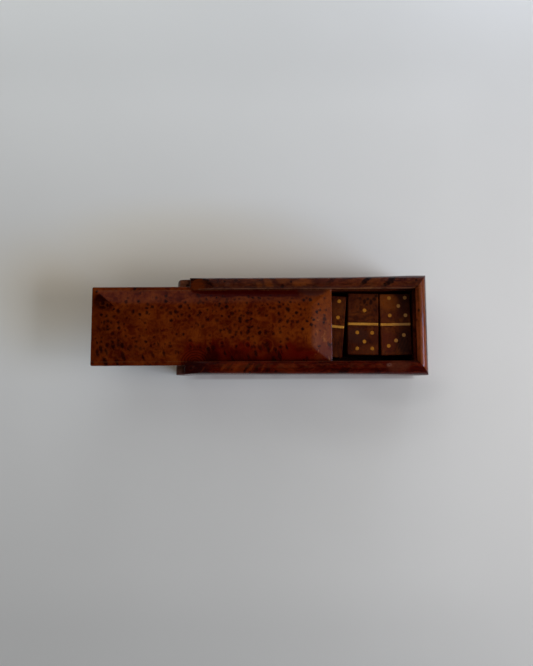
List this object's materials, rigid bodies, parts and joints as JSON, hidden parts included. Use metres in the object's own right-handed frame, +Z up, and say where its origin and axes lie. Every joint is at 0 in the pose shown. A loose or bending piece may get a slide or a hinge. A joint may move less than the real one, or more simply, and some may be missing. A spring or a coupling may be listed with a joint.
{
  "type": "domino storage box",
  "caption": "Long wooden box with a bevelled sliding lid of burl wood, drawn partly open over stacks of wooden dominoes with pale inlaid pips.",
  "frame": {"origin": "middle of the underside of the closed box body, on the surface that it stands on", "axes": "+X along the box towards its closed end, +Y across the box towards the back wall, +Z up"},
  "size_m": [0.2695, 0.0804, 0.05],
  "materials": {
    "burl": "varnished thuya burl, golden brown with dark eyes",
    "wall_wood": "varnished thuya, red-brown with dark streaks",
    "floor_wood": "plain oiled thuya",
    "domino_wood": "polished thuya, straight to swirled grain",
    "lemonwood": "polished pale yellow inlay"
  },
  "bodies": {
    "box": {"floor_panel": "floor_wood", "front_wall": "wall_wood", "back_wall": "wall_wood", "right_end_wall": "wall_wood", "left_end_wall": "wall_wood", "domino_s1_l1": "domino_wood", "domino_s1_l2": "domino_wood", "domino_s1_l3": "domino_wood", "domino_s1_l4": "domino_wood", "domino_s2_l1": "domino_wood", "domino_s2_l2": "domino_wood", "domino_s2_l3": "domino_wood", "domino_s2_l4": "domino_wood", "domino_s3_l1": "domino_wood", "domino_s3_l2": "domino_wood", "domino_s3_l3": "domino_wood", "domino_s3_l4": "domino_wood", "domino_s4_l1": "domino_wood", "domino_s4_l2": "domino_wood", "domino_s4_l3": "domino_wood", "domino_s4_l4": "domino_wood", "domino_s5_l1": "domino_wood", "domino_s5_l2": "domino_wood", "domino_s5_l3": "domino_wood", "domino_s5_l4": "domino_wood", "inlay_s1_l4": "lemonwood", "inlay_s2_l4": "lemonwood", "inlay_s3_l4": "lemonwood", "inlay_s4_l4": "lemonwood", "inlay_s5_l4": "lemonwood", "inlays_s1_lower": "lemonwood", "inlays_s2_lower": "lemonwood", "inlays_s3_lower": "lemonwood", "inlays_s4_lower": "lemonwood", "inlays_s5_lower": "lemonwood"},
    "lid": {"lid": "burl"},
    "loose_s6_l1": {"domino_s6_l1": "domino_wood", "inlay_s6_l1": "lemonwood"},
    "loose_s6_l2": {"domino_s6_l2": "domino_wood", "inlay_s6_l2": "lemonwood"},
    "loose_s6_l3": {"domino_s6_l3": "domino_wood", "inlay_s6_l3": "lemonwood"},
    "loose_s6_l4": {"domino_s6_l4": "domino_wood", "inlay_s6_l4": "lemonwood"},
    "loose_s7_l1": {"domino_s7_l1": "domino_wood", "inlay_s7_l1": "lemonwood"},
    "loose_s7_l2": {"domino_s7_l2": "domino_wood", "inlay_s7_l2": "lemonwood"},
    "loose_s7_l3": {"domino_s7_l3": "domino_wood", "inlay_s7_l3": "lemonwood"},
    "loose_s7_l4": {"domino_s7_l4": "domino_wood", "inlay_s7_l4": "lemonwood"}
  },
  "joints": [
    {"name": "lid_slide", "type": "slide", "parent": "box", "child": "lid", "axis": [1, 0, 0], "range_m": [-0.116, 0.0696]},
    {"name": "lift_s6_l1", "type": "slide", "parent": "box", "child": "loose_s6_l1", "axis": [0, 0, 1], "range_m": [0, 0.06]},
    {"name": "lift_s6_l2", "type": "slide", "parent": "loose_s6_l1", "child": "loose_s6_l2", "axis": [0, 0, 1], "range_m": [0, 0.045]},
    {"name": "lift_s6_l3", "type": "slide", "parent": "loose_s6_l2", "child": "loose_s6_l3", "axis": [0, 0, 1], "range_m": [0, 0.038]},
    {"name": "lift_s6_l4", "type": "slide", "parent": "loose_s6_l3", "child": "loose_s6_l4", "axis": [0, 0, 1], "range_m": [0, 0.03]},
    {"name": "lift_s7_l1", "type": "slide", "parent": "box", "child": "loose_s7_l1", "axis": [0, 0, 1], "range_m": [0, 0.06]},
    {"name": "lift_s7_l2", "type": "slide", "parent": "loose_s7_l1", "child": "loose_s7_l2", "axis": [0, 0, 1], "range_m": [0, 0.045]},
    {"name": "lift_s7_l3", "type": "slide", "parent": "loose_s7_l2", "child": "loose_s7_l3", "axis": [0, 0, 1], "range_m": [0, 0.038]},
    {"name": "lift_s7_l4", "type": "slide", "parent": "loose_s7_l3", "child": "loose_s7_l4", "axis": [0, 0, 1], "range_m": [0, 0.03]}
  ]
}
